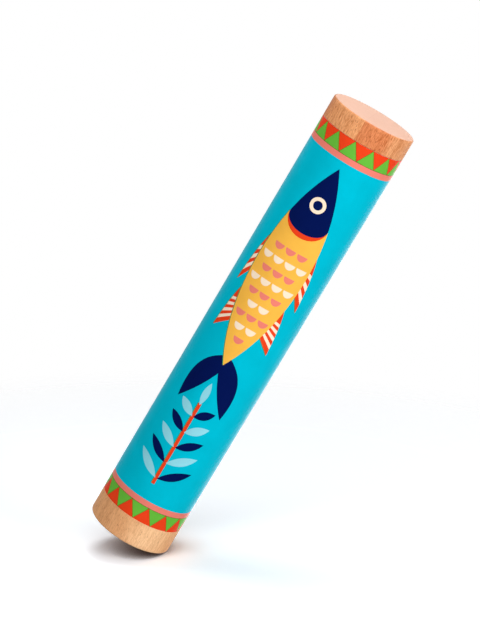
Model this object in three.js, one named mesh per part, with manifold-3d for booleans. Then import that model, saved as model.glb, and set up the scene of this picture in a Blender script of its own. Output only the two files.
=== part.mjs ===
// A toy rain stick. A wound-board tube in a printed paper wrap is closed by two turned beech caps.
// Wooden pins cross the bore in a rising spiral, and loose steel beads trickle down between them
// whenever the stick is turned over. It stands on the flat end of its lower cap.
//
// Units are millimetres. The origin is the centre of the lower cap's flat end, +Z runs up the stick,
// and -Y is the side that the wrap's printed figure faces.

import * as THREE from "three";
import { mergeVertices } from "three/addons/utils/BufferGeometryUtils.js";
import Module from "manifold-3d";

// ---- Driving dimensions ----

const OUTER_DIAMETER = 45; // over the wrap, and over both caps
const TUBE_LENGTH = 224; // the wrap covers all of it
const LOWER_CAP_HEIGHT = 13.8; // bare wood that shows below the wrap
const UPPER_CAP_HEIGHT = 11.2; // bare wood that shows above the wrap

const WRAP_THICKNESS = 0.3;
const TUBE_WALL = 2.1;
const GLUE_GAP = 0.1; // wherever two glued pieces face each other

const SPIGOT_LENGTH = 10; // how far a cap plugs into the tube
const SPIGOT_LEAD = 0.8; // chamfer that starts the spigot into the bore
const RIM_ROUND = 1.0; // rounded edge at the free end of a cap
const SHOULDER_EASE = 0.15; // eased corner where a cap meets the wrap

const PIN_DIAMETER = 2;
const PIN_COUNT = 30;
const PIN_TURN = 45; // degrees from one pin to the next; it divides 180
const PIN_START = 22.5; // degrees, so that a clear channel lies on each of +X, +Y, -X and -Y
const PIN_GLUE_GAP = 0.1; // between a pin and its drilled hole
const PIN_RECESS = 0.3; // each end stops this far below the tube's surface, clear of the wrap
const END_CHAMBER = 10; // free length of bore between a cap and the nearest pin's axis

const BEAD_DIAMETER = 4;
const BEAD_GAP = 0.2; // between a bead and what it rests on or lies beside
const BEADS_ABREAST = [2, 1]; // side by side in each channel, in the outer ring and the inner one
const BEAD_SWAY = 0.75; // share of their channel's spare width that they stray sideways

const SIDES = 64; // facets around the tube, the wrap and the caps
const PIN_SIDES = 8;
const BEAD_DETAIL = 1; // subdivisions of an icosahedron
const ROUND_STEPS = 5; // facets in a cap's rounded edge

// ---- Sizes that follow ----

const outerRadius = OUTER_DIAMETER / 2;
const tubeOuterRadius = outerRadius - WRAP_THICKNESS - GLUE_GAP;
const boreRadius = tubeOuterRadius - TUBE_WALL;
const spigotRadius = boreRadius - GLUE_GAP;

const tubeBottom = LOWER_CAP_HEIGHT;
const tubeTop = tubeBottom + TUBE_LENGTH;
const stickHeight = tubeTop + UPPER_CAP_HEIGHT;

// A cap's shoulder stands one glue gap off the tube's end, and its spigot is measured from there.
const chamberBottom = tubeBottom - GLUE_GAP + SPIGOT_LENGTH;
const chamberTop = tubeTop + GLUE_GAP - SPIGOT_LENGTH;

const firstPinHeight = chamberBottom + END_CHAMBER;
const lastPinHeight = chamberTop - END_CHAMBER;
const pinPitch = (lastPinHeight - firstPinHeight) / (PIN_COUNT - 1);
const pinRadius = PIN_DIAMETER / 2;
const pinLength = 2 * (tubeOuterRadius - PIN_RECESS);

const channelCount = 360 / PIN_TURN; // straight clear ways between the pins, seen along the bore
const beadRadius = BEAD_DIAMETER / 2;
const outerRingRadius = boreRadius - beadRadius - 2 * BEAD_GAP;
const ringSpacing = BEAD_DIAMETER + BEAD_GAP;
const beadHeight = chamberBottom + BEAD_GAP + beadRadius;

// ---- Materials ----

const beech = new THREE.MeshStandardMaterial({ color: 0xe2a977, roughness: 0.55, metalness: 0 });
const board = new THREE.MeshStandardMaterial({ color: 0xb08d66, roughness: 0.9, metalness: 0 });
const printedPaper = new THREE.MeshStandardMaterial({ color: 0x00b4d2, roughness: 0.4, metalness: 0 });
const birch = new THREE.MeshStandardMaterial({ color: 0xdcc29a, roughness: 0.65, metalness: 0 });
const steel = new THREE.MeshStandardMaterial({ color: 0xb9bcc0, roughness: 0.25, metalness: 1 });

// ---- Helpers ----

const wasm = await Module();
wasm.setup();

// A closed geometry with its vertices merged, as a solid that can be cut.
function solidOf(geometry) {
  const bare = geometry.clone();
  bare.deleteAttribute("normal");
  bare.deleteAttribute("uv");
  const merged = mergeVertices(bare, 1e-4);
  return new wasm.Manifold(
    new wasm.Mesh({
      numProp: 3,
      vertProperties: merged.attributes.position.array,
      triVerts: new Uint32Array(merged.index.array),
    }),
  );
}

function geometryOf(solid) {
  const { vertProperties, triVerts } = solid.getMesh();
  const geometry = new THREE.BufferGeometry();
  geometry.setAttribute("position", new THREE.BufferAttribute(vertProperties, 3));
  geometry.setIndex(new THREE.BufferAttribute(triVerts, 1));
  geometry.computeVertexNormals();
  return geometry;
}

function namedMesh(name, geometry, material) {
  const mesh = new THREE.Mesh(geometry, material);
  mesh.name = name;
  return mesh;
}

// A profile of [radius, height] points turned about +Z.
function turned(profile) {
  const points = profile.map(([radius, height]) => new THREE.Vector2(radius, height));
  return new THREE.LatheGeometry(points, SIDES).rotateX(Math.PI / 2);
}

// An open-ended tube about +Z, as a closed profile.
function sleeve(innerRadius, outerSleeveRadius, bottom, top) {
  return turned([
    [innerRadius, bottom],
    [outerSleeveRadius, bottom],
    [outerSleeveRadius, top],
    [innerRadius, top],
    [innerRadius, bottom],
  ]);
}

const pieceNumber = (index) => String(index + 1).padStart(2, "0");

// ---- Tube and wrap ----

// A cylinder across the bore at the given pin's height and angle.
function acrossBore(index, radius, length) {
  const angle = THREE.MathUtils.degToRad(PIN_START + index * PIN_TURN);
  const across = new THREE.CylinderGeometry(radius, radius, length, PIN_SIDES);
  return across
    .rotateZ(Math.PI / 2)
    .rotateZ(angle)
    .translate(0, 0, firstPinHeight + index * pinPitch);
}

function makeTube() {
  let tube = solidOf(sleeve(boreRadius, tubeOuterRadius, tubeBottom, tubeTop));
  for (let i = 0; i < PIN_COUNT; i++) {
    tube = tube.subtract(solidOf(acrossBore(i, pinRadius + PIN_GLUE_GAP, OUTER_DIAMETER)));
  }
  return namedMesh("tube", geometryOf(tube), board);
}

function makeWrap() {
  const innerRadius = outerRadius - WRAP_THICKNESS;
  return namedMesh("printed_wrap", sleeve(innerRadius, outerRadius, tubeBottom, tubeTop), printedPaper);
}

// ---- Caps ----

// A turned cap whose free end lies at height 0 and whose spigot points up.
function capGeometry(height) {
  const shoulder = height - GLUE_GAP;
  const spigotEnd = shoulder + SPIGOT_LENGTH;
  const rim = [];
  for (let i = 0; i <= ROUND_STEPS; i++) {
    const turn = (i / ROUND_STEPS) * (Math.PI / 2);
    rim.push([
      outerRadius - RIM_ROUND * (1 - Math.sin(turn)),
      RIM_ROUND * (1 - Math.cos(turn)),
    ]);
  }
  return turned([
    [0, 0],
    ...rim,
    [outerRadius, shoulder - SHOULDER_EASE],
    [outerRadius - SHOULDER_EASE, shoulder],
    [spigotRadius, shoulder],
    [spigotRadius, spigotEnd - SPIGOT_LEAD],
    [spigotRadius - SPIGOT_LEAD, spigotEnd],
    [0, spigotEnd],
  ]);
}

function makeCaps() {
  const lower = namedMesh("lower_cap", capGeometry(LOWER_CAP_HEIGHT), beech);
  const upper = namedMesh("upper_cap", capGeometry(UPPER_CAP_HEIGHT), beech);
  upper.rotation.x = Math.PI;
  upper.position.z = stickHeight;
  return [lower, upper];
}

// ---- Pins ----

function makePins() {
  return Array.from({ length: PIN_COUNT }, (_, i) =>
    namedMesh(`pin_${pieceNumber(i)}`, acrossBore(i, pinRadius, pinLength), birch),
  );
}

// ---- Beads ----

function makeBead(index, ringRadius, angle) {
  const shape = new THREE.IcosahedronGeometry(beadRadius, BEAD_DETAIL);
  const bead = namedMesh(`bead_${pieceNumber(index)}`, shape, steel);
  bead.position.set(ringRadius * Math.cos(angle), ringRadius * Math.sin(angle), beadHeight);
  return bead;
}

// The beads lie in rings on the lower cap, and every bead keeps to one channel, so each can run the
// length of the bore past the pins. Those of one channel and ring stray from its middle together, by
// an amount that wanders from one channel to the next.
function makeBeads() {
  const halfChannel = THREE.MathUtils.degToRad(PIN_TURN / 2);
  const beads = [];
  BEADS_ABREAST.forEach((abreast, ring) => {
    const ringRadius = outerRingRadius - ring * ringSpacing;
    const halfStep = Math.asin((beadRadius + BEAD_GAP / 2) / ringRadius);
    const besidePin = Math.asin((pinRadius + BEAD_GAP + beadRadius) / ringRadius);
    const spareTurn = halfChannel - besidePin - (abreast - 1) * halfStep;
    for (let channel = 0; channel < channelCount; channel++) {
      const middle = THREE.MathUtils.degToRad(PIN_START + (channel + 0.5) * PIN_TURN);
      const sway = BEAD_SWAY * spareTurn * Math.sin(channel * 2.4 + ring);
      for (let place = 0; place < abreast; place++) {
        const aside = (2 * place - (abreast - 1)) * halfStep;
        beads.push(makeBead(beads.length, ringRadius, middle + sway + aside));
      }
    }
  });
  return beads;
}

// ---- The whole stick ----

const rainStick = new THREE.Group();
rainStick.add(makeTube(), makeWrap(), ...makeCaps(), ...makePins(), ...makeBeads());

export default rainStick;
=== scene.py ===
"""A toy rain stick: printed paper round a wound-board tube, two turned beech caps, and the pins and
loose beads inside.

Lengths are in metres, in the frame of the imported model: the origin is the middle of the lower cap's
flat end, +Z runs up the stick, and -Y is the side that the printed fish faces. The print is laid out
flat first, as u, the way round the stick from the fish's middle, and v, the height.

Run as a script, it makes every piece. The panel in the 3D view's sidebar makes them one by one.
"""

import math

import bmesh
import bpy
import numpy as np
from mathutils import Matrix, Quaternion, Vector
from mathutils.geometry import delaunay_2d_cdt


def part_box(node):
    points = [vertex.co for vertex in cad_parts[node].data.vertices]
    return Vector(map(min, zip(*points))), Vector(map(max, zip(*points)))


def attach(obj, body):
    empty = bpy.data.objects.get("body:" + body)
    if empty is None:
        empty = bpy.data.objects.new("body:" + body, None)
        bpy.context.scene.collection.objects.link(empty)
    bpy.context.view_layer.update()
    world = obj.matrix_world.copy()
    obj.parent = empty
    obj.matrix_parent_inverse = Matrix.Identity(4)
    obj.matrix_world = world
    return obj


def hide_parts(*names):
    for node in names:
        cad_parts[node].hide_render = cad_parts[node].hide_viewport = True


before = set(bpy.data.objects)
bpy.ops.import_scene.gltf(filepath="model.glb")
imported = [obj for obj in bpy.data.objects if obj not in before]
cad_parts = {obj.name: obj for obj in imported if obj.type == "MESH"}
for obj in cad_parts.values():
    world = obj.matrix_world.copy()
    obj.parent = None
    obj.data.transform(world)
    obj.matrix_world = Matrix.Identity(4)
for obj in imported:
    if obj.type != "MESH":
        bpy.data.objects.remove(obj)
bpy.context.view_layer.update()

bl_info = {
    "name": "Rain stick",
    "version": (1, 0, 0),
    "blender": (4, 5, 0),
    "location": "3D View > Sidebar > Rain stick",
    "description": "Makes a toy rain stick's printed wrap, wooden caps, pins, beads and stage",
    "category": "Add Mesh",
}

MM = 0.001
PIN_NODES = sorted(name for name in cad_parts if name.startswith("pin_"))
BEAD_NODES = sorted(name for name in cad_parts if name.startswith("bead_"))

# The sizes that every piece shares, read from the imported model.
WRAP_LOW, WRAP_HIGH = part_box("printed_wrap")
OUTER_RADIUS = WRAP_HIGH.x
STICK_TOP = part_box("upper_cap")[1].z
WRAP_THICKNESS = 0.3 * MM
GLUE_GAP = 0.1 * MM


# ---- Settings ----


def linear(code):
    """The linear red, green and blue of a colour written as six hex digits."""
    values = [int(code[place : place + 2], 16) / 255 for place in (0, 2, 4)]
    return tuple(v / 12.92 if v <= 0.04045 else ((v + 0.055) / 1.055) ** 2.4 for v in values)


def colour(name, code, description):
    return bpy.props.FloatVectorProperty(
        name=name, description=description, default=linear(code), size=3, min=0, max=1, subtype="COLOR"
    )


def size(name, default, description):
    return bpy.props.FloatProperty(
        name=name, description=description, default=default, subtype="DISTANCE", unit="LENGTH", precision=5
    )


def angle(name, degrees, description):
    return bpy.props.FloatProperty(
        name=name, description=description, default=math.radians(degrees), subtype="ANGLE", unit="ROTATION"
    )


def light(name, default, description):
    return bpy.props.FloatProperty(name=name, description=description, default=default, min=0)


def count(name, default, description, least=3, most=400):
    return bpy.props.IntProperty(name=name, description=description, default=default, min=least, max=most)


class PrintSettings(bpy.types.PropertyGroup):
    """The printed paper: its inks, and the sizes of what is printed."""

    sea: colour("Sea blue", "00BAD2", "Ground of the print")
    leaf: colour("Leaf green", "66B83D", "Triangles that point to the wood")
    vermilion: colour("Vermilion", "EA421D", "Triangles that point to the line, the gill, fins and stem")
    coral: colour("Coral pink", "EC8071", "Lines inside the triangles, and every other row of scales")
    navy: colour("Navy", "04144F", "Head, tail and dark leaves")
    honey: colour("Honey yellow", "FABB4A", "The fish's body")
    cream: colour("Cream", "FBE5CB", "Eye ring, fin rays, and the other rows of scales")
    mist: colour("Pale blue", "8FD6E4", "Pale leaves")
    trap: colour("Trap line", "5A4A16", "Where two inks print over each other along an edge")
    overprint: colour("Overprint", "2E8A55", "Where a warm ink has slipped over the blue ground")
    paper: colour("Bare paper", "E9E2D4", "The wrap's inner side and cut edges")

    border: size("Triangle height", 8.6 * MM, "Height of each row of triangles")
    line: size("Line width", 3.2 * MM, "Height of the pink line beside each row")
    triangles: count("Triangles", 14, "How many triangles of one colour go round")
    trap_width: size("Trap width", 0.22 * MM, "Width of the dark line where two inks meet")
    slip: size("Slip", 0.42 * MM, "How far the warm inks have slipped to the left")

    nose: size("Nose height", 222.0 * MM, "Height of the fish's nose")
    tail_root: size("Tail root height", 107.0 * MM, "Height at which the body comes to a point")
    tail_tip: size("Tail tip height", 80.5 * MM, "Height of the two tips of the tail")
    half_width: size("Half width", 14.4 * MM, "From the fish's middle line to its edge, at the widest")
    head_line: size("Head line", 191.5 * MM, "Height at which the head meets the body")

    gill: size("Gill depth", 6.5 * MM, "How far the gill cover reaches over the body")
    scale: size("Scale width", 6.5 * MM, "Width of the scales")

    weed_top: size("Weed top", 96.0 * MM, "Height of the weed's tip under the tail")
    weed_foot: size("Weed foot", 35.0 * MM, "Height of the weed's foot")
    stem: size("Stem width", 1.75 * MM, "Width of the weed's stem")
    leaves: count("Leaf pairs", 5, "How many pairs of leaves the weed has")

    columns: count("Columns", 112, "Flat facets that make up the round of the paper")
    overlap: size("Seam overlap", 7.0 * MM, "How far the paper's outer end laps over its inner end")
    lap: size("Lap step", 0.12 * MM, "How far the outer end stands proud of the inner end")


class CapSettings(bpy.types.PropertyGroup):
    """The turned beech caps."""

    # The upper cap's left-edge colour is painted shade: the left board darkens towards its outer edge,
    # where less light falls.
    upper_edge: colour("Upper cap, left edge", "D38E65", "Darker wood at the outer edge of the left board")
    upper_left: colour("Upper cap, left board", "F4AF79", "Early wood of the upper cap's left board")
    upper_middle: colour("Upper cap, right board", "E28F5E", "Early wood of the upper cap's right board")
    upper_right: colour("Upper cap, right edge", "EDAA78", "Paler wood at the outer edge of that board")
    lower_left: colour("Lower cap, left", "EEB27E", "Early wood at the lower cap's left side")
    lower_right: colour("Lower cap, right", "FFCF9E", "Early wood at the lower cap's right side")
    late: colour("Late wood", "CBAC92", "What each colour is multiplied by in the darker growth")
    end: colour("End grain", "EABDA6", "The sanded flat ends")
    fleck: colour("Fleck", "8E3F20", "Short dark rays in the wood")
    rim: size("Rim radius", 1.0 * MM, "Rounded edge at the free end")
    ease: size("Shoulder ease", 0.15 * MM, "Eased edge where a cap meets the paper")
    lead: size("Spigot lead", 0.8 * MM, "Chamfer at the end of the plug inside the tube")
    joint: size("Joint offset", -1.2 * MM, "How far off the middle the upper cap's glued joint lies")
    slant: angle("Slant", 4.5, "How far the grain leans to one side")
    facets: count("Facets", 160, "Flat facets that make up the round of a cap")


class InnerSettings(bpy.types.PropertyGroup):
    """What lies inside: the board tube, the pins and the beads."""

    board: colour("Board", "B08D66", "Wound board of the tube")
    board_dark: colour("Board shadow", "8C6C4A", "Darker fibres of the board")
    birch: colour("Birch", "E6CDA6", "Light wood of the pins")
    birch_dark: colour("Birch grain", "C9A678", "Grain of the pins")
    steel: colour("Steel", "C3C6CA", "Polished beads")
    ply: size("Ply width", 42 * MM, "Width of the board strip that is wound round the tube")
    pin_chamfer: size("Pin chamfer", 0.25 * MM, "Broken edge at each end of a pin")
    pin_facets: count("Pin facets", 24, "Flat facets that make up the round of a pin")
    bead_steps: count("Bead steps", 3, "Subdivisions that make up the round of a bead", least=1, most=5)


class StageSettings(bpy.types.PropertyGroup):
    """The camera, the floor and the lamps."""

    distance: size("Camera distance", 1.2317, "From the stick's axis to the camera, square to the axis")
    height: size("Camera height", 0.4503, "Of the camera over the stick's lower end, along the axis")
    swing: angle("Camera swing", 4.4, "How far round from the fish's middle the camera stands")
    roll: angle("Camera roll", 30.7, "How far the stick leans to the right in the camera's view")
    aside: size("Aim aside", -5.9 * MM, "How far beside the stick's axis the camera aims")
    aim: size("Aim height", 125.3 * MM, "Height on the stick that the camera aims at")
    look_down: angle("Look down", 15.0, "Angle at which the camera looks down on the floor")
    lens: bpy.props.FloatProperty(
        name="Lens", description="Focal length on a 36 mm sensor", default=142.1, subtype="DISTANCE_CAMERA"
    )
    floor: size("Floor radius", 0.35, "Radius of the round floor, which fades out towards its edge")
    tent: light("Tent", 0.15, "Strength of the light that comes from all round")
    panel: light("Panel", 3.0, "Brightness of the panel behind the stick in reflections, where 1 is white")
    top: light("Top", 3.6, "Power of the soft box high behind the stick, in watts")
    side: light("Side", 6.1, "Power of the soft box at the right, in watts")
    front: light("Front", 3.3, "Power of the soft box up and left of the camera, in watts")
    glint: light("Glint", 16.0, "Power of the box over the cap that only reflections show, in watts")


# ---- Meshes ----

SHARP = math.radians(35)


def new_piece(name, points, faces, materials, worn=None):
    """A mesh object; worn gives each face's place in the list of materials."""
    mesh = bpy.data.meshes.new(name)
    mesh.from_pydata([tuple(point) for point in points], [], faces)
    for material in materials:
        mesh.materials.append(material)
    if worn is not None:
        mesh.polygons.foreach_set("material_index", worn)
    mesh.shade_smooth()
    mesh.update()
    piece = bpy.data.objects.new(name, mesh)
    bpy.context.scene.collection.objects.link(piece)
    return piece


def turned(profile, facets):
    """Points and faces of a closed solid, from (radius, height) points that start and end on the axis."""
    points, rings = [], []
    for radius, height in profile:
        around = 1 if radius == 0 else facets
        rings.append([len(points) + step for step in range(around)])
        for step in range(around):
            turn = 2 * math.pi * step / facets
            points.append((radius * math.cos(turn), radius * math.sin(turn), height))
    faces = []
    for below, above in zip(rings, rings[1:]):
        for step in range(facets):
            after = (step + 1) % facets
            ends = [below[step % len(below)], below[after % len(below)]]
            ends += [above[after % len(above)], above[step % len(above)]]
            faces.append(list(dict.fromkeys(ends)))
    return points, faces


def turns(start, end, steps):
    """Evenly spaced angles from one to another, both of them included."""
    return [start + (end - start) * step / steps for step in range(steps + 1)]


def arc(centre, radius, start, end, steps):
    """Points of an arc from one angle to another, in radians."""
    return [
        (centre[0] + radius * math.cos(t), centre[1] + radius * math.sin(t))
        for t in turns(start, end, steps)
    ]


def bezier(start, bend, end, steps):
    """Points of a curve from start to end that bend pulls towards itself."""
    found = []
    for step in range(steps + 1):
        t = step / steps
        weighted = list(zip(((1 - t) ** 2, 2 * t * (1 - t), t**2), (start, bend, end)))
        found.append(tuple(sum(weight * point[axis] for weight, point in weighted) for axis in (0, 1)))
    return found


# ---- Shader nodes ----


class Tree:
    """Short ways to add linked nodes to one node tree."""

    def __init__(self, tree):
        self.tree = tree

    def put(self, socket, value):
        if isinstance(value, bpy.types.NodeSocket):
            self.tree.links.new(value, socket)
        else:
            socket.default_value = value

    def add(self, kind, inputs=None, **options):
        node = self.tree.nodes.new(kind)
        for option, value in options.items():
            setattr(node, option, value)
        for socket, value in (inputs or {}).items():
            self.put(node.inputs[socket], value)
        return node

    def maths(self, operation, first, second=0.0):
        return self.add("ShaderNodeMath", {0: first, 1: second}, operation=operation).outputs[0]

    def vectors(self, operation, first, second):
        place = "Scale" if operation == "SCALE" else 1
        return self.add("ShaderNodeVectorMath", {0: first, place: second}, operation=operation).outputs[0]

    def length(self, vector):
        return self.add("ShaderNodeVectorMath", {0: vector}, operation="LENGTH").outputs["Value"]

    def split(self, vector):
        """The x, y and z of a vector."""
        return self.add("ShaderNodeSeparateXYZ", {0: vector}).outputs

    def join(self, x=0.0, y=0.0, z=0.0):
        return self.add("ShaderNodeCombineXYZ", {"X": x, "Y": y, "Z": z}).outputs[0]

    def noise(self, place, stretch, detail=2.0, roughness=0.5):
        """Noise that changes about stretch times in each unit of x, y and z."""
        inputs = {
            "Vector": self.vectors("MULTIPLY", place, stretch),
            "Scale": 1.0,
            "Detail": detail,
            "Roughness": roughness,
        }
        return self.add("ShaderNodeTexNoise", inputs).outputs[0]

    def spread(self, value, low, high, to_low=0.0, to_high=1.0):
        inputs = {"Value": value, "From Min": low, "From Max": high, "To Min": to_low, "To Max": to_high}
        return self.add("ShaderNodeMapRange", inputs).outputs[0]

    def blend(self, factor, first, second):
        inputs = {0: factor, 6: opaque(first), 7: opaque(second)}
        return self.add("ShaderNodeMix", inputs, data_type="RGBA").outputs[2]

    def ramp(self, value, stops):
        """The colour at a value, between (place, colour) stops, of which the first is 0 and the last 1."""
        node = self.add("ShaderNodeValToRGB", {0: value})
        stretch = node.color_ramp.elements
        for place, tone in stops[1:-1]:
            stretch.new(place).color = opaque(tone)
        stretch[0].color, stretch[-1].color = opaque(stops[0][1]), opaque(stops[-1][1])
        return node.outputs[0]

    def bump(self, height, distance):
        return self.add("ShaderNodeBump", {"Height": height, "Distance": distance}).outputs[0]

    def group(self, group, inputs=None):
        node = self.add("ShaderNodeGroup", node_tree=group)
        for socket, value in (inputs or {}).items():
            self.put(node.inputs[socket], value)
        return node.outputs


def opaque(value):
    """A colour of three numbers with an alpha of 1, or the socket that it is."""
    return value if isinstance(value, bpy.types.NodeSocket) else (*value[:3], 1.0)


def new_group(name, inputs, outputs):
    """An empty node group as a Tree, with the sockets that it is given and those that it puts out."""
    group = bpy.data.node_groups.new(name, "ShaderNodeTree")
    for socket, kind in inputs.items():
        group.interface.new_socket(socket, in_out="INPUT", socket_type=kind)
    for socket in outputs:
        group.interface.new_socket(socket, in_out="OUTPUT", socket_type="NodeSocketFloat")
    tree = Tree(group)
    return tree, tree.add("NodeGroupInput").outputs, tree.add("NodeGroupOutput").inputs


def built_once(build):
    """Turns a builder of a node group into a function that returns the group, built on its first call."""
    name = build.__name__.replace("_", " ").capitalize()

    def fetch():
        return bpy.data.node_groups.get(name) or build(name)

    return fetch


def new_material(name):
    """A material with only its output, as the material and a Tree."""
    material = bpy.data.materials.new(name)
    material.use_nodes = True
    material.node_tree.nodes.clear()
    return material, Tree(material.node_tree)


def surface(tree, **inputs):
    """Ends a material in a Principled shader; an input's name has _ for each space."""
    named = {socket.replace("_", " "): value for socket, value in inputs.items()}
    shader = tree.add("ShaderNodeBsdfPrincipled", named)
    tree.add("ShaderNodeOutputMaterial", {"Surface": shader.outputs[0]})


@built_once
def straight_grain(name):
    """Wood that grows along Z, from coordinates in millimetres: its tone, dark flecks and relief."""
    sockets = {"Millimetres": "NodeSocketVector", "Heart": "NodeSocketVector", "Flecked": "NodeSocketFloat"}
    tree, given, wanted = new_group(name, sockets, ("Tone", "Flecks", "Relief"))
    place = given["Millimetres"]
    wander = tree.spread(tree.noise(place, (0.06, 0.06, 0.012)), 0, 1, -3, 3)
    across = tree.vectors("MULTIPLY", tree.vectors("SUBTRACT", place, given["Heart"]), (1, 1, 0))
    ring_place = tree.join(tree.maths("ADD", tree.length(across), wander))
    rings = tree.noise(ring_place, (0.7, 0, 0), detail=3.0, roughness=0.6)
    fibres = tree.noise(place, (1.7, 1.7, 0.26), detail=3.0, roughness=0.62)
    pores = tree.noise(place, (4.2, 4.2, 0.7), detail=1.0)
    broad = tree.maths("ADD", tree.maths("MULTIPLY", rings, 0.35), tree.maths("MULTIPLY", fibres, 0.65))
    tone = tree.maths("ADD", tree.maths("MULTIPLY", broad, 0.75), tree.maths("MULTIPLY", pores, 0.25))
    tree.put(wanted["Tone"], tree.spread(tone, 0.42, 0.62))
    ray_place = tree.vectors("MULTIPLY", place, (1.1, 1.1, 0.4))
    rays = tree.add("ShaderNodeTexVoronoi", {"Vector": ray_place, "Scale": 1.0}).outputs
    chance, girth, _ = tree.split(rays["Color"])
    reach = tree.spread(girth, 0, 1, 0.16, 0.36)
    spindle = tree.spread(rays["Distance"], tree.maths("MULTIPLY", reach, 0.5), reach, 1.0, 0.0)
    flecks = tree.maths("MULTIPLY", spindle, tree.maths("LESS_THAN", chance, given["Flecked"]))
    tree.put(wanted["Flecks"], flecks)
    tree.put(wanted["Relief"], tree.maths("SUBTRACT", pores, flecks))
    return tree.tree


@built_once
def paper_fibres(name):
    """Pressed paper from coordinates in millimetres: a soft mottle, single fibres and their relief."""
    sockets = {"Millimetres": "NodeSocketVector"}
    tree, given, wanted = new_group(name, sockets, ("Mottle", "Fibres", "Relief"))
    place = given["Millimetres"]
    cloud = tree.noise(place, (0.09, 0.09, 0.09), detail=4.0, roughness=0.6)
    speck = tree.noise(place, (3.2, 3.2, 3.2))
    felt = tree.noise(place, (1.3, 1.3, 5.5), detail=3.0, roughness=0.65)
    tree.put(wanted["Mottle"], tree.spread(cloud, 0.3, 0.7))
    tree.put(wanted["Fibres"], tree.spread(felt, 0.35, 0.68))
    tree.put(wanted["Relief"], tree.maths("ADD", tree.maths("MULTIPLY", speck, 0.5), felt))
    return tree.tree


@built_once
def rubbed_surface(name):
    """Handling marks from coordinates in millimetres: where a satin surface has dulled."""
    tree, given, wanted = new_group(name, {"Millimetres": "NodeSocketVector"}, ("Dulled",))
    smudge = tree.noise(given["Millimetres"], (0.07, 0.07, 0.05), detail=5.0, roughness=0.65)
    tree.put(wanted["Dulled"], tree.spread(smudge, 0.35, 0.7))
    return tree.tree


def millimetres(tree):
    """The piece's own coordinates, in millimetres."""
    place = tree.add("ShaderNodeTexCoord").outputs["Object"]
    return tree.vectors("MULTIPLY", place, (1 / MM,) * 3)


# ---- Materials ----


def ink_material(name, ink):
    """Ink on satin paper, a little uneven and rubbed."""
    material, tree = new_material(name)
    place = millimetres(tree)
    paper = tree.group(paper_fibres(), {"Millimetres": place})
    hands = tree.group(rubbed_surface(), {"Millimetres": place})
    cover = tree.spread(paper["Mottle"], 0, 1, 0.95, 1.03)
    grain = tree.spread(paper["Fibres"], 0, 1, 0.98, 1.02)
    shade = tree.vectors("SCALE", ink, tree.maths("MULTIPLY", cover, grain))
    surface(
        tree,
        Base_Color=shade,
        Roughness=tree.spread(hands["Dulled"], 0, 1, 0.24, 0.34),
        Normal=tree.bump(paper["Relief"], 0.006 * MM),
        Specular_IOR_Level=0.012,
    )
    return material


def bare_paper(name, tone):
    """Uncoated paper."""
    material, tree = new_material(name)
    paper = tree.group(paper_fibres(), {"Millimetres": millimetres(tree)})
    darker = tuple(channel * 0.86 for channel in tone)
    relief = tree.bump(paper["Relief"], 0.02 * MM)
    surface(tree, Base_Color=tree.blend(paper["Fibres"], tone, darker), Roughness=0.85, Normal=relief)
    return material


def beech(name, settings, boards, joint, flecked, figure):
    """Turned beech, whose boards are (x, colour) stops from one side to the other.

    joint is the x of a glue line, and flecked the share of the wood's rays that show to the left and
    right of it. figure is how strongly growth and rays stand out.
    """
    material, tree = new_material(name)
    place = millimetres(tree)
    across = tree.split(place)["X"]
    offset = tree.maths("SUBTRACT", across, joint / MM)
    second = tree.maths("GREATER_THAN", offset, 0.0)
    glue = tree.spread(tree.maths("ABSOLUTE", offset), 0.06, 0.14, 1.0, 0.0)
    lean = {"Vector": place, "Rotation": (0, settings.slant, 0)}
    leaning = tree.add("ShaderNodeMapping", lean).outputs[0]
    shift = tree.blend(second, (0.0, 0.0, 0.0), (37.0, -21.0, 55.0))
    wood_place = {
        "Millimetres": tree.vectors("ADD", leaning, shift),
        "Heart": tree.blend(second, (-42.0, 31.0, 0.0), (55.0, 12.0, 0.0)),
        "Flecked": tree.spread(second, 0, 1, *flecked),
    }
    grain = tree.group(straight_grain(), wood_place)
    half = OUTER_RADIUS / MM
    stops = [(0.5 + x / (2 * OUTER_RADIUS), tone) for x, tone in boards]
    early = tree.ramp(tree.spread(across, -half, half), stops)
    late = tree.vectors("MULTIPLY", early, settings.late)
    side = tree.blend(tree.maths("MULTIPLY", grain["Tone"], figure), early, late)
    normal = tree.add("ShaderNodeTexCoord").outputs["Normal"]
    flat = tree.spread(tree.maths("ABSOLUTE", tree.split(normal)["Z"]), 0.75, 0.99)
    sawn = tree.blend(tree.maths("MULTIPLY", grain["Tone"], 0.12), settings.end, late)
    wood = tree.blend(flat, side, sawn)
    marks = tree.maths("MULTIPLY", grain["Flecks"], tree.spread(flat, 0, 1, 0.62 * figure, 0.08))
    marked = tree.blend(marks, wood, settings.fleck)
    seam = tree.maths("MULTIPLY", glue, tree.spread(flat, 0, 1, 0.3, 0.08))
    hands = tree.group(rubbed_surface(), {"Millimetres": place})
    surface(
        tree,
        Base_Color=tree.blend(seam, marked, settings.fleck),
        Roughness=tree.spread(hands["Dulled"], 0, 1, 0.42, 0.56),
        Normal=tree.bump(grain["Relief"], 0.02 * MM),
        Specular_IOR_Level=0.03,
    )
    return material


def birch_dowel(name, settings):
    """Unfinished birch, with its grain along the UV map's second axis."""
    material, tree = new_material(name)
    along = tree.add("ShaderNodeUVMap", uv_map="Dowel").outputs[0]
    u, v, _ = tree.split(along)
    place = tree.join(x=tree.maths("MULTIPLY", u, 6.3), z=tree.maths("MULTIPLY", v, 44.0))
    grain = tree.group(straight_grain(), {"Millimetres": place, "Heart": (-12.0, 9.0, 0.0), "Flecked": 0.0})
    wood = tree.blend(grain["Tone"], settings.birch, settings.birch_dark)
    relief = tree.bump(grain["Relief"], 0.03 * MM)
    surface(tree, Base_Color=wood, Roughness=0.7, Normal=relief)
    return material


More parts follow.
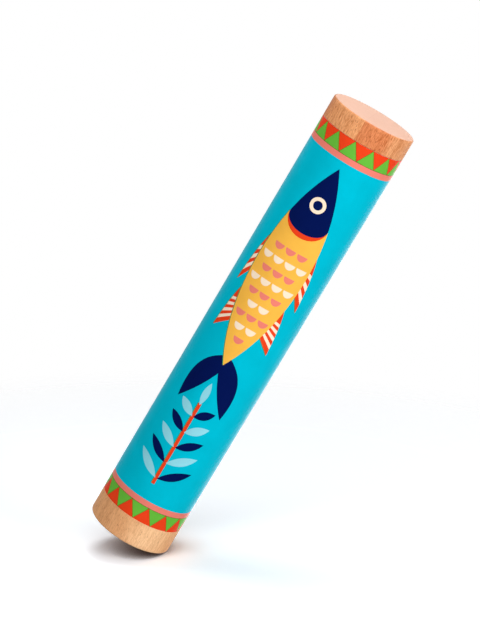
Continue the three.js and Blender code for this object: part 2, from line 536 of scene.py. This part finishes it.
def wound_board(name, settings):
    """Grey-brown board, wound in a strip whose edges show as a spiral line."""
    material, tree = new_material(name)
    place = millimetres(tree)
    x, y, z = tree.split(place)
    turn = tree.maths("DIVIDE", tree.maths("ARCTAN2", y, x), 2 * math.pi)
    strip = tree.maths("FRACT", tree.maths("SUBTRACT", tree.maths("DIVIDE", z, settings.ply / MM), turn))
    to_edge = tree.maths("MINIMUM", strip, tree.maths("SUBTRACT", 1.0, strip))
    edge = tree.spread(to_edge, 0.0, 0.006, 1.0, 0.0)
    paper = tree.group(paper_fibres(), {"Millimetres": place})
    board = tree.blend(paper["Fibres"], settings.board, settings.board_dark)
    mottled = tree.blend(tree.maths("MULTIPLY", paper["Mottle"], 0.3), board, settings.board_dark)
    lined = tree.blend(tree.maths("MULTIPLY", edge, 0.7), mottled, (0.05, 0.035, 0.02))
    relief = tree.bump(tree.maths("SUBTRACT", paper["Relief"], edge), 0.05 * MM)
    surface(tree, Base_Color=lined, Roughness=0.9, Normal=relief)
    return material


def polished_steel(name, settings):
    """Tumbled steel shot, bright with fine scratches."""
    material, tree = new_material(name)
    place = millimetres(tree)
    scratches = tree.noise(place, (9.0, 2.0, 14.0), detail=4.0, roughness=0.7)
    stain = tree.noise(place, (0.9, 0.9, 0.9))
    dull = tuple(channel * 0.8 for channel in settings.steel)
    surface(
        tree,
        Base_Color=tree.blend(tree.spread(stain, 0.35, 0.65), settings.steel, dull),
        Metallic=1.0,
        Roughness=tree.spread(scratches, 0.3, 0.7, 0.14, 0.30),
        Normal=tree.bump(scratches, 0.004 * MM),
    )
    return material


# ---- The print, laid out flat ----

HALF_TURN = turns(math.pi, 2 * math.pi, 16)

# Each pair of fins: the heights between which it is rooted, its tip's distance from the middle line,
# its tip's height, and how many pale rays it has.
FINS = (
    (177 * MM, 156 * MM, 19 * MM, 147 * MM, 3),
    (146 * MM, 129 * MM, 17 * MM, 121 * MM, 4),
)


def disc(u, v, radius, steps=28):
    return arc((u, v), radius, 0, 2 * math.pi * (1 - 1 / steps), steps - 1)


def stroke(start, end, width):
    """A straight bar from start to end, with square ends."""
    du, dv = end[0] - start[0], end[1] - start[1]
    length = math.hypot(du, dv)
    side_u, side_v = -dv / length * width / 2, du / length * width / 2
    return [
        (start[0] + side_u, start[1] + side_v),
        (end[0] + side_u, end[1] + side_v),
        (end[0] - side_u, end[1] - side_v),
        (start[0] - side_u, start[1] - side_v),
    ]


def slipped(settings, outline):
    """An outline moved aside, as a colour lands that the press has put down out of place."""
    return [(u - settings.slip, v - settings.slip / 3) for u, v in outline]


def border_shapes(settings, edge, inward):
    """A row of triangles and its line, from the paper's edge inward: up for 1, down for -1."""
    half_round = math.pi * OUTER_RADIUS
    step = 2 * half_round / settings.triangles
    base = edge + inward * settings.border
    line = base + inward * settings.line

    def strip(low, high):
        return [(-half_round, low), (half_round, low), (half_round, high), (-half_round, high)]

    yield "coral", strip(base, line)
    yield "vermilion", strip(edge, base)
    middles = [place * step for place in range(-(settings.triangles // 2), settings.triangles // 2 + 1)]
    for middle in middles:
        corners = [(middle - step / 2, base), (middle, edge), (middle + step / 2, base)]
        yield "leaf", corners
        yield "trap", stroke(corners[0], corners[1], settings.trap_width)
        yield "trap", stroke(corners[1], corners[2], settings.trap_width)
    yield "trap", strip(base - settings.trap_width / 2, base + settings.trap_width / 2)


def body_edge(settings, v):
    """Half the fish's width at a height: both sides are arcs from the nose to the tail's root."""
    middle = (settings.nose + settings.tail_root) / 2
    half_length = (settings.nose - settings.tail_root) / 2
    bulge = settings.half_width
    radius = (half_length**2 + bulge**2) / (2 * bulge)
    return max(math.sqrt(max(radius**2 - (v - middle) ** 2, 0)) - (radius - bulge), 0)


def body_slice(settings, low, high, steps):
    """The part of the fish between two heights."""
    heights = [low + (high - low) * step / steps for step in range(steps + 1)]
    right = [(body_edge(settings, v), v) for v in heights]
    left = [(-u, v) for u, v in reversed(right) if u > 0]
    return [point for point in right if point[0] > 0 or point[1] in (low, high)] + left


def fin_shapes(settings, side, top, root, reach, tip, rays):
    """A fin with rays on one side, rooted from top to root and swept back to a tip."""
    outer = bezier(
        (body_edge(settings, top), top), (reach * 0.93, (top + tip) / 2 + 4 * MM), (reach, tip), 12
    )
    inner = [body_edge(settings, top + (root - top) * step / 12) - 1 * MM for step in range(13)]
    inner = [(u, top + (root - top) * step / 12) for step, u in enumerate(inner)]

    def sided(points):
        return [(side * u, v) for u, v in points]

    def across(place):
        """The inner and outer points at a share of the way down the fin."""
        low = min(int(place * 12), 11)
        rest = place * 12 - low

        def between(points):
            return tuple(a + (b - a) * rest for a, b in zip(points[low], points[low + 1]))

        return between(inner), between(outer)

    yield "overprint", slipped(settings, sided(outer + inner[::-1]))
    yield "vermilion", sided(outer + inner[::-1])
    for ray in range(rays):
        start = 0.36 + 0.6 * ray / rays
        (inner_1, outer_1), (inner_2, outer_2) = across(start), across(start + 0.3 / rays)
        yield "cream", sided([inner_1, outer_1, outer_2, inner_2])


def scale_shapes(settings):
    """Rows of half-round scales that point to the tail, each row half a scale aside from the last."""
    radius = settings.scale / 2
    high = settings.head_line - settings.gill - 1.5 * settings.scale
    rows = int((high - settings.tail_root) / settings.scale)
    for row in range(rows):
        v = high - row * settings.scale
        shift = row % 2 / 2
        for place in range(-4, 5):
            u = (place + shift) * settings.scale
            if abs(u) + radius * 1.15 < body_edge(settings, v):
                outline = [(u + 0.86 * radius * math.cos(t), v + radius * math.sin(t)) for t in HALF_TURN]
                yield "cream" if row % 2 else "coral", outline


def fish_shapes(settings):
    """A plain fish, head up, the same on both sides of its middle line."""
    head, root = settings.head_line, settings.tail_root
    for side in (-1, 1):
        for fin in FINS:
            yield from fin_shapes(settings, side, *fin)
        shoulder = (side * 1.6 * MM, root + 5 * MM)
        tip = (side * 13.0 * MM, settings.tail_tip)
        outer = bezier(shoulder, (side * 17.5 * MM, root - 4 * MM), tip, 14)
        inner = bezier(tip, (side * 5.0 * MM, root - 17 * MM), (0, root - 5 * MM), 10)
        yield "navy", outer + inner + [(0, root + 4 * MM)]
    yield "overprint", slipped(settings, body_slice(settings, root, head, 28))
    yield "honey", body_slice(settings, root, head, 28)
    yield from scale_shapes(settings)
    gill = body_edge(settings, head)
    for ink, depth in (("vermilion", settings.gill + 2.6 * MM), ("navy", settings.gill)):
        yield ink, [(gill * math.cos(t), head + depth * math.sin(t)) for t in HALF_TURN]
    yield "navy", body_slice(settings, head, settings.nose, 14)
    eye = head + 9.5 * MM
    yield "cream", disc(0, eye, 4.2 * MM, 40)
    yield "navy", disc(0, eye, 2.4 * MM, 32)


def leaf_outline(root, tip, width):
    """A pointed leaf between two points."""
    middle_u, middle_v = (root[0] + tip[0]) / 2, (root[1] + tip[1]) / 2
    du, dv = tip[0] - root[0], tip[1] - root[1]
    length = math.hypot(du, dv)
    side_u, side_v = -dv / length * width, du / length * width
    there = bezier(root, (middle_u + side_u, middle_v + side_v), tip, 12)
    back = bezier(tip, (middle_u - side_u, middle_v - side_v), root, 12)
    return there[:-1] + back[:-1]


def weed_shapes(settings):
    """A plain water weed: an upright stem with a leaf at its tip and pairs of leaves along it."""
    top, foot, pairs = settings.weed_top, settings.weed_foot, settings.leaves
    bud = top - 12 * MM
    stem = stroke((0, bud), (0, foot), settings.stem)
    yield "overprint", slipped(settings, stem)
    yield "vermilion", stem
    yield "mist", leaf_outline((0, bud - 1 * MM), (0, top), 3.6 * MM)
    pitch = (bud - foot) / (pairs + 0.2)
    for pair in range(pairs):
        v = foot + (pair + 0.35) * pitch
        reach = (15.5 - 1.4 * pair) * MM
        for side in (-1, 1):
            ink = "navy" if (pair + (side > 0)) % 2 else "mist"
            tip = (side * reach, v + 0.62 * reach)
            yield ink, leaf_outline((side * 0.4 * MM, v), tip, 4.6 * MM)


def print_shapes(settings):
    """Every shape of the print as (ink, outline), each over the ones before it."""
    yield from border_shapes(settings, WRAP_LOW.z, 1)
    yield from border_shapes(settings, WRAP_HIGH.z, -1)
    yield from fish_shapes(settings)
    yield from weed_shapes(settings)


def inside(outline, u, v):
    """Which of the points (u, v) an outline holds."""
    held = np.zeros(len(u), bool)
    for (u_1, v_1), (u_2, v_2) in zip(outline, outline[1:] + outline[:1]):
        if v_1 != v_2:
            crosses = (v_1 > v) != (v_2 > v)
            held ^= crosses & (u < (u_2 - u_1) * (v - v_1) / (v_2 - v_1) + u_1)
    return held


def flat_print(settings):
    """The print cut into triangles along every edge of colour: points (u, v), triangles and their inks."""
    half_round = math.pi * OUTER_RADIUS
    low, high = WRAP_LOW.z, WRAP_HIGH.z
    shapes = list(print_shapes(settings))
    points, edges = [], []

    def outline(corners, closed=True):
        first = len(points)
        points.extend(corners)
        edges.extend((first + step, first + step + 1) for step in range(len(corners) - 1))
        if closed:
            edges.append((len(points) - 1, first))

    outline([(-half_round, low), (half_round, low), (half_round, high), (-half_round, high)])
    for column in range(1, settings.columns):
        u = half_round * (2 * column / settings.columns - 1)
        outline([(u, low), (u, high)], closed=False)
    for _, corners in shapes:
        outline([(min(max(u, -half_round), half_round), min(max(v, low), high)) for u, v in corners])
    scale = 1 / MM
    cut = delaunay_2d_cdt([Vector(p) * scale for p in points], edges, [], 0, 1e-3, False)
    flat = np.array([tuple(point) for point in cut[0]]) * MM
    triangles = np.array([face for face in cut[2] if len(face) == 3])
    corner = flat[triangles]
    doubled = np.cross(corner[:, 1] - corner[:, 0], corner[:, 2] - corner[:, 0])
    triangles, corner, doubled = (kept[np.abs(doubled) > 1e-14] for kept in (triangles, corner, doubled))
    triangles[doubled < 0] = triangles[doubled < 0][:, ::-1]
    middle = corner.mean(1)
    inks = np.full(len(triangles), "sea", dtype="U12")
    for ink, corners in shapes:
        inks[inside(corners, middle[:, 0], middle[:, 1])] = ink
    return flat, triangles, inks


# ---- The wrap ----

# Where the unrolled map holds each part of the wrap, as shares of its width.
MAP_EDGE = 0.01
MAP_SHEET = 0.8
MAP_INNER = (0.83, 0.95)
MAP_LAP = (0.955, 0.961)
MAP_LOW_RIM = (0.967, 0.976)
MAP_HIGH_RIM = (0.982, 0.991)


def zip_chains(first, second):
    """Triangles between two chains of (place, point, spot), each in order of place."""
    faces, i, j = [], 0, 0
    while i < len(first) - 1 or j < len(second) - 1:
        step_first = j == len(second) - 1 or (i < len(first) - 1 and first[i + 1][0] <= second[j + 1][0])
        if step_first:
            faces.append((first[i], first[i + 1], second[j]))
            i += 1
        else:
            faces.append((first[i], second[j + 1], second[j]))
            j += 1
    return faces


def wrap_mesh(settings):
    """The wrap's points, faces and inks, and for each corner of each face a normal and a spot.

    A spot is a corner's place on the unrolled map: the printed side first, then strips for the inner
    side, the end of the overlap, and the cut edge at the bottom and at the top.
    """
    flat, triangles, inks = flat_print(settings)
    half_round = math.pi * OUTER_RADIUS
    low, high = WRAP_LOW.z, WRAP_HIGH.z
    inner_radius = OUTER_RADIUS - WRAP_THICKNESS
    lapped = np.clip((flat[:, 0] + half_round) / settings.overlap, 0, 1)
    radius = OUTER_RADIUS + settings.lap * (1 - lapped**2 * (3 - 2 * lapped))
    around = flat[:, 0] / OUTER_RADIUS
    outward = np.stack([np.sin(around), -np.cos(around), np.zeros(len(flat))], 1)
    points = outward * radius[:, None]
    points[:, 2] = flat[:, 1]
    share_round = (flat[:, 0] + half_round) / (2 * half_round)
    share_up = (flat[:, 1] - low) / (high - low)
    on_edge = {
        "low": (share_up < 1e-6, share_round),
        "high": (share_up > 1 - 1e-6, share_round),
        "start": (share_round < 1e-6, share_up),
        "end": (share_round > 1 - 1e-6, share_up),
    }
    faces, worn, normals, spots = [], [], [], []

    def spot(column, share):
        return (column, MAP_EDGE + (1 - 2 * MAP_EDGE) * share)

    def add(new_faces, ink, direction):
        for face in new_faces:
            faces.append(tuple(point for _, point, _ in face))
            worn.append(ink)
            normals.extend(direction(point) for _, point, _ in face)
            spots.extend(place for _, _, place in face)

    def edge_chain(side, column):
        on_side, share = on_edge[side]
        found = sorted((float(share[point]), int(point)) for point in np.flatnonzero(on_side))
        return [(place, point, spot(column, place)) for place, point in found]

    sheet = [
        spot(MAP_EDGE + MAP_SHEET * float(across), float(up)) for across, up in zip(share_round, share_up)
    ]
    for triangle, ink in zip(triangles, inks):
        corners = [(None, int(point), sheet[point]) for point in triangle]
        add([corners], ink, lambda point: outward[point])

    columns = settings.columns
    shares = [(column + 0.5) / columns for column in range(columns)]
    first = len(points)
    ring = np.array([[-math.sin(2 * math.pi * x), math.cos(2 * math.pi * x), 0] for x in shares])
    bottom, top = ring * inner_radius, ring * inner_radius
    bottom[:, 2], top[:, 2] = low, high
    points = np.concatenate([points, bottom, top])

    def inner_chain(base, column):
        wrapped = [(shares[-1] - 1, base + columns - 1)]
        corners = wrapped + [(share, base + place) for place, share in enumerate(shares)]
        return [(share, point, spot(column, share)) for share, point in corners]

    def outer_chain(side, column):
        chain = edge_chain(side, column)
        return [(-1e-7, chain[-1][1], spot(column, -0.3 / columns))] + chain

    def rim(side, base, inner_column, outer_column):
        return zip_chains(inner_chain(base, inner_column), outer_chain(side, outer_column))

    add(rim("low", first, *MAP_LOW_RIM), "paper", lambda _: (0, 0, -1))
    high_rim = rim("high", first + columns, *MAP_HIGH_RIM)
    add([face[::-1] for face in high_rim], "paper", lambda _: (0, 0, 1))
    for place in range(columns):
        corners = []
        for step in (0, 1):
            column = MAP_INNER[0] + (MAP_INNER[1] - MAP_INNER[0]) * (place + step) / columns
            point = first + (place + step) % columns
            corners += [(None, point, spot(column, 0)), (None, point + columns, spot(column, 1))]
        a, above_a, b, above_b = corners
        pair = [(a, above_a, above_b), (a, above_b, b)]
        add(pair, "paper", lambda point: -ring[(point - first) % columns])
    lap_faces = zip_chains(edge_chain("start", MAP_LAP[0]), edge_chain("end", MAP_LAP[1]))
    add(lap_faces, "paper", lambda _: (1, 0, 0))
    return points, faces, worn, normals, spots


class RAINSTICK_OT_wrap(bpy.types.Operator):
    """Prints the paper and wraps it round the tube"""

    bl_idname = "rain_stick.wrap"
    bl_label = "Printed wrap"

    def execute(self, context):
        settings = context.scene.rain_stick_print
        points, faces, worn, normals, spots = wrap_mesh(settings)
        inks = sorted(set(worn))
        materials = [
            bare_paper("Bare paper", settings.paper)
            if ink == "paper"
            else ink_material(f"Ink {ink}", tuple(getattr(settings, ink)))
            for ink in inks
        ]
        places = [inks.index(ink) for ink in worn]
        piece = new_piece("paper_wrap", points, faces, materials, places)
        piece.data.normals_split_custom_set([tuple(map(float, normal)) for normal in normals])
        unrolled = piece.data.uv_layers.new(name="OFBake")
        unrolled.data.foreach_set("uv", [value for place in spots for value in place])
        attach(piece, "stick")
        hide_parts("printed_wrap")
        return {"FINISHED"}


# ---- The caps ----


def cap_profile(settings, end, shoulder, plug_end, plug_radius):
    """The (radius, height) points of a cap, from the middle of its flat end to the end of its plug."""
    up = 1 if shoulder > end else -1
    rim, radius = settings.rim, OUTER_RADIUS
    rounded = [
        (radius - rim * (1 - math.sin(t)), end + up * rim * (1 - math.cos(t)))
        for t in turns(0, math.pi / 2, 10)
    ]
    flat = [(0, end), (radius * 0.4, end), (radius * 0.8, end), (radius - rim * 1.25, end)]
    return [
        *flat,
        *rounded,
        (radius, shoulder - up * settings.ease * 2),
        (radius, shoulder - up * settings.ease),
        (radius - settings.ease, shoulder),
        (plug_radius, shoulder),
        (plug_radius, plug_end - up * settings.lead),
        (plug_radius - settings.lead, plug_end),
        (0, plug_end),
    ]


def make_cap(name, node, settings, material, lower):
    low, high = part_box(node)
    tube_low, tube_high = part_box("tube")
    end, plug_end = (low.z, high.z) if lower else (high.z, low.z)
    shoulder = tube_low.z - GLUE_GAP if lower else tube_high.z + GLUE_GAP
    plug_radius = inner_radius_of("tube") - GLUE_GAP
    points, faces = turned(cap_profile(settings, end, shoulder, plug_end, plug_radius), settings.facets)
    piece = new_piece(name, points, facing_out(points, faces), [material])
    piece.data.set_sharp_from_angle(angle=SHARP)
    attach(piece, "stick")
    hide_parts(node)


def facing_out(points, faces):
    """The faces of a closed mesh, turned over if they point in."""
    volume = 0.0
    for face in faces:
        corners = [Vector(points[place]) for place in face]
        for second, third in zip(corners[1:], corners[2:]):
            volume += corners[0].dot(second.cross(third))
    return [face[::-1] for face in faces] if volume < 0 else faces


def inner_radius_of(node):
    """The smallest distance of a CAD node's points from the stick's axis."""
    return min(math.hypot(point.co.x, point.co.y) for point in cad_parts[node].data.vertices)


class RAINSTICK_OT_caps(bpy.types.Operator):
    """Turns the two beech caps"""

    bl_idname = "rain_stick.caps"
    bl_label = "Wooden caps"

    def execute(self, context):
        settings = context.scene.rain_stick_caps
        edge, joint = OUTER_RADIUS, settings.joint
        # The upper cap's first stop is painted shade at its left edge.
        upper = [
            (-edge, settings.upper_edge),
            (-17.5 * MM, settings.upper_left),
            (joint, settings.upper_left),
            (joint + 0.1 * MM, settings.upper_middle),
            (12 * MM, settings.upper_middle),
            (16 * MM, settings.upper_right),
            (edge, settings.upper_right),
        ]
        lower = [
            (-edge, settings.lower_left),
            (-3 * MM, settings.lower_left),
            (9 * MM, settings.lower_right),
            (17 * MM, settings.lower_right),
            (edge, settings.lower_left),
        ]
        two_boards = beech("Beech of two boards", settings, upper, joint, (0.6, 1.0), 1.0)
        one_board = beech("Beech of one board", settings, lower, edge, (0.7, 0.7), 0.6)
        make_cap("upper_cap_wood", "upper_cap", settings, two_boards, lower=False)
        make_cap("lower_cap_wood", "lower_cap", settings, one_board, lower=True)
        return {"FINISHED"}


# ---- What lies inside ----


class RAINSTICK_OT_tube(bpy.types.Operator):
    """Gives the tube its wound board"""

    bl_idname = "rain_stick.tube"
    bl_label = "Board tube"

    def execute(self, context):
        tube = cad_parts["tube"]
        tube.data.materials.clear()
        tube.data.materials.append(wound_board("Wound board", context.scene.rain_stick_inner))
        return {"FINISHED"}


def pin_place(node):
    """The middle, direction, length and radius of a pin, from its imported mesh."""
    found = np.array([point.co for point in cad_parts[node].data.vertices], float)
    middle = (found.min(0) + found.max(0)) / 2
    direction = np.linalg.svd(found - middle)[2][0]
    along = (found - middle) @ direction
    away = np.linalg.norm(found - middle - along[:, None] * direction, axis=1)
    return Vector(middle), Vector(direction), float(np.ptp(along)), float(away.max())


class RAINSTICK_OT_pins(bpy.types.Operator):
    """Fits the wooden pins across the bore"""

    bl_idname = "rain_stick.pins"
    bl_label = "Pins"

    def execute(self, context):
        settings = context.scene.rain_stick_inner
        material = birch_dowel("Birch dowel", settings)
        for node in PIN_NODES:
            middle, direction, length, radius = pin_place(node)
            half, edge = length / 2, settings.pin_chamfer
            half_profile = [(0, half), (radius - edge, half), (radius, half - edge)]
            profile = [(r, -h) for r, h in half_profile] + half_profile[::-1]
            points, faces = turned(profile, settings.pin_facets)
            turn = direction.to_track_quat("Z", "Y")
            placed = [middle + turn @ Vector(point) for point in points]
            pin = new_piece(f"{node}_dowel", placed, facing_out(placed, faces), [material])
            pin.data.set_sharp_from_angle(angle=SHARP)
            dowel = pin.data.uv_layers.new(name="Dowel")
            for loop in pin.data.loops:
                x, y, z = points[loop.vertex_index]
                dowel.data[loop.index].uv = (math.atan2(y, x) / (2 * math.pi) + 0.5, z / length + 0.5)
            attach(pin, "stick")
            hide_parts(node)
        return {"FINISHED"}


class RAINSTICK_OT_beads(bpy.types.Operator):
    """Pours in the loose steel beads"""

    bl_idname = "rain_stick.beads"
    bl_label = "Beads"

    def execute(self, context):
        settings = context.scene.rain_stick_inner
        material = polished_steel("Polished steel", settings)
        for node in BEAD_NODES:
            low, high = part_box(node)
            shape = bmesh.new()
            radius = (high.z - low.z) / 2
            bmesh.ops.create_icosphere(shape, subdivisions=settings.bead_steps, radius=radius)
            bmesh.ops.translate(shape, verts=shape.verts, vec=(low + high) / 2)
            mesh = bpy.data.meshes.new(f"{node}_shot")
            shape.to_mesh(mesh)
            shape.free()
            mesh.materials.append(material)
            mesh.shade_smooth()
            bead = bpy.data.objects.new(f"{node}_shot", mesh)
            context.scene.collection.objects.link(bead)
            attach(bead, f"loose_{node}")
            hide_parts(node)
        return {"FINISHED"}


# ---- The stage ----

# The panel that only reflections show, in degrees: the way to it, as right of the camera and above
# level, and how far from there it is at full brightness and at an end.
PANEL_WAY = (156, -25)
PANEL_FULL, PANEL_END = 20, 34


def set_camera(settings):
    data = bpy.data.cameras.new("Camera")
    data.lens = settings.lens
    data.clip_start, data.clip_end = 0.05, 20
    camera = bpy.data.objects.new("Camera", data)
    swing = Matrix.Rotation(settings.swing, 3, "Z")
    place = swing @ Vector((0, -settings.distance, settings.height))
    aim = swing @ Vector((settings.aside, 0, settings.aim))
    camera.rotation_mode = "QUATERNION"
    facing = (aim - place).to_track_quat("-Z", "Y")
    camera.rotation_quaternion = facing @ Quaternion((0, 0, 1), settings.roll)
    camera.location = place
    bpy.context.scene.collection.objects.link(camera)
    bpy.context.scene.camera = camera
    return camera


def floor_material():
    """White to the eye where the stick casts no shadow, with a painted contact shadow near the stick, clear
    from below and faded out at its rim.
    """
    material, tree = new_material("Floor")
    seen = tree.add("ShaderNodeLightPath").outputs["Is Camera Ray"]
    # Painted contact shadow: the floor's colour runs from a warm dark where ambient occlusion finds the
    # stick close to a slightly bluish white further off.
    corner = tree.add("ShaderNodeAmbientOcclusion", {"Distance": 0.032}, samples=16).outputs["AO"]
    shade = tree.blend(tree.spread(corner, 0.14, 0.54), (0.13, 0.1, 0.092), (1.24, 1.27, 1.31))
    paint = tree.add("ShaderNodeBsdfDiffuse", {"Color": tree.blend(seen, (0.5, 0.5, 0.5), shade)})
    clear = tree.add("ShaderNodeBsdfTransparent").outputs[0]
    below = tree.add("ShaderNodeNewGeometry").outputs["Backfacing"]
    place = tree.add("ShaderNodeTexCoord").outputs["Object"]
    hidden = tree.maths("MAXIMUM", below, tree.spread(tree.length(place), 0.55, 0.95))
    mixed = tree.add("ShaderNodeMixShader", {0: hidden, 1: paint.outputs[0], 2: clear}).outputs[0]
    tree.add("ShaderNodeOutputMaterial", {"Surface": mixed})
    return material


def lay_floor(settings, up):
    """A round floor, square to up, under the lowest point of the lower cap."""
    cap = bpy.data.objects["lower_cap_wood"]
    lowest = min((point.co for point in cap.data.vertices), key=lambda place: place.dot(up))
    shape = bmesh.new()
    bmesh.ops.create_circle(shape, cap_ends=True, segments=96, radius=1)
    mesh = bpy.data.meshes.new("Floor")
    shape.to_mesh(mesh)
    shape.free()
    mesh.materials.append(floor_material())
    floor = bpy.data.objects.new("Floor", mesh)
    floor.rotation_mode = "QUATERNION"
    floor.rotation_quaternion = up.to_track_quat("Z", "Y")
    floor.scale = (settings.floor,) * 3
    floor.location = lowest
    floor.visible_glossy = False
    bpy.context.scene.collection.objects.link(floor)


def add_lamp(name, place, aim, width, height, watts, glints=False):
    """A soft box that lights the stick but shows in no reflection, or shows only there if it glints."""
    data = bpy.data.lights.new(name, "AREA")
    data.shape, data.size, data.size_y, data.energy = "RECTANGLE", width, height, watts
    lamp = bpy.data.objects.new(name, data)
    lamp.location = place
    lamp.rotation_mode = "QUATERNION"
    lamp.rotation_quaternion = (aim - place).to_track_quat("-Z", "Y")
    lamp.visible_glossy = glints
    lamp.visible_diffuse = not glints
    bpy.context.scene.collection.objects.link(lamp)


def light_world(settings, towards):
    """A dim light from all round, which the eye and reflections see as white.

    Reflections also show one brighter panel behind the stick.
    """
    world = bpy.data.worlds.new("Studio")
    world.use_nodes = True
    world.cycles.sampling_method = "NONE"
    world.node_tree.nodes.clear()
    tree = Tree(world.node_tree)
    path = tree.add("ShaderNodeLightPath").outputs
    inputs = {0: tree.add("ShaderNodeTexCoord").outputs["Generated"], 1: towards(*PANEL_WAY)}
    facing = tree.add("ShaderNodeVectorMath", inputs, operation="DOT_PRODUCT").outputs["Value"]
    end, full = (math.cos(math.radians(reach)) for reach in (PANEL_END, PANEL_FULL))
    reflected = tree.spread(facing, end, full, 1.0, settings.panel)
    unseen = tree.spread(path["Is Glossy Ray"], 0, 1, settings.tent, reflected)
    seen = tree.maths("MAXIMUM", path["Is Camera Ray"], path["Is Transmission Ray"])
    strength = tree.spread(seen, 0, 1, unseen, 1.0)
    shining = tree.add("ShaderNodeBackground", {"Color": (1, 1, 1, 1), "Strength": strength})
    tree.add("ShaderNodeOutputWorld", {"Surface": shining.outputs[0]})
    bpy.context.scene.world = world


class RAINSTICK_OT_stage(bpy.types.Operator):
    """Sets up the camera, the floor and the lamps"""

    bl_idname = "rain_stick.stage"
    bl_label = "Stage"

    def execute(self, context):
        settings = context.scene.rain_stick_stage
        turn = set_camera(settings).rotation_quaternion
        up = turn @ Vector((0, math.cos(settings.look_down), math.sin(settings.look_down)))
        right = turn @ Vector((1, 0, 0))
        near = right.cross(up)

        def towards(around, rise):
            """The way to a place in the room, so many degrees right of the camera and above level."""
            around, rise = math.radians(around), math.radians(rise)
            level = near * math.cos(around) + right * math.sin(around)
            return level * math.cos(rise) + up * math.sin(rise)

        crown = Vector((0, 0, STICK_TOP))
        middle = crown / 2
        lay_floor(settings, up)
        add_lamp("Top", middle + towards(178, 75) * 0.9, middle, 0.4, 0.4, settings.top)
        add_lamp("Side", middle + towards(52, 8) * 0.9, middle, 0.5, 0.5, settings.side)
        add_lamp("Front", crown + towards(-20, 30) * 0.6, middle, 0.7, 0.7, settings.front)
        over_cap = crown + Vector((0.01, -0.35, 0.6))
        add_lamp("Glint", over_cap, crown, 0.25, 0.3, settings.glint, glints=True)
        light_world(settings, towards)
        context.scene.view_settings.view_transform = "Standard"
        return {"FINISHED"}


# ---- The add-on ----


class VIEW3D_PT_rain_stick(bpy.types.Panel):
    """Lists the makers of the pieces and their settings"""

    bl_label = "Rain stick"
    bl_space_type = "VIEW_3D"
    bl_region_type = "UI"
    bl_category = "Rain stick"

    def draw(self, context):
        for operator in OPERATORS:
            self.layout.operator(operator.bl_idname)
        for name, group in SETTINGS.items():
            box = self.layout.box()
            settings = getattr(context.scene, name)
            for prop in group.__annotations__:
                box.prop(settings, prop)


SETTINGS = {
    "rain_stick_print": PrintSettings,
    "rain_stick_caps": CapSettings,
    "rain_stick_inner": InnerSettings,
    "rain_stick_stage": StageSettings,
}
OPERATORS = (
    RAINSTICK_OT_wrap,
    RAINSTICK_OT_caps,
    RAINSTICK_OT_tube,
    RAINSTICK_OT_pins,
    RAINSTICK_OT_beads,
    RAINSTICK_OT_stage,
)


def register():
    for made in (*SETTINGS.values(), *OPERATORS, VIEW3D_PT_rain_stick):
        bpy.utils.register_class(made)
    for name, group in SETTINGS.items():
        setattr(bpy.types.Scene, name, bpy.props.PointerProperty(type=group))


def unregister():
    for name in SETTINGS:
        delattr(bpy.types.Scene, name)
    for made in (VIEW3D_PT_rain_stick, *reversed(OPERATORS), *reversed(SETTINGS.values())):
        bpy.utils.unregister_class(made)


def main():
    register()
    bpy.ops.rain_stick.wrap()
    bpy.ops.rain_stick.caps()
    bpy.ops.rain_stick.tube()
    bpy.ops.rain_stick.pins()
    bpy.ops.rain_stick.beads()
    bpy.ops.rain_stick.stage()


if __name__ == "__main__":
    main()
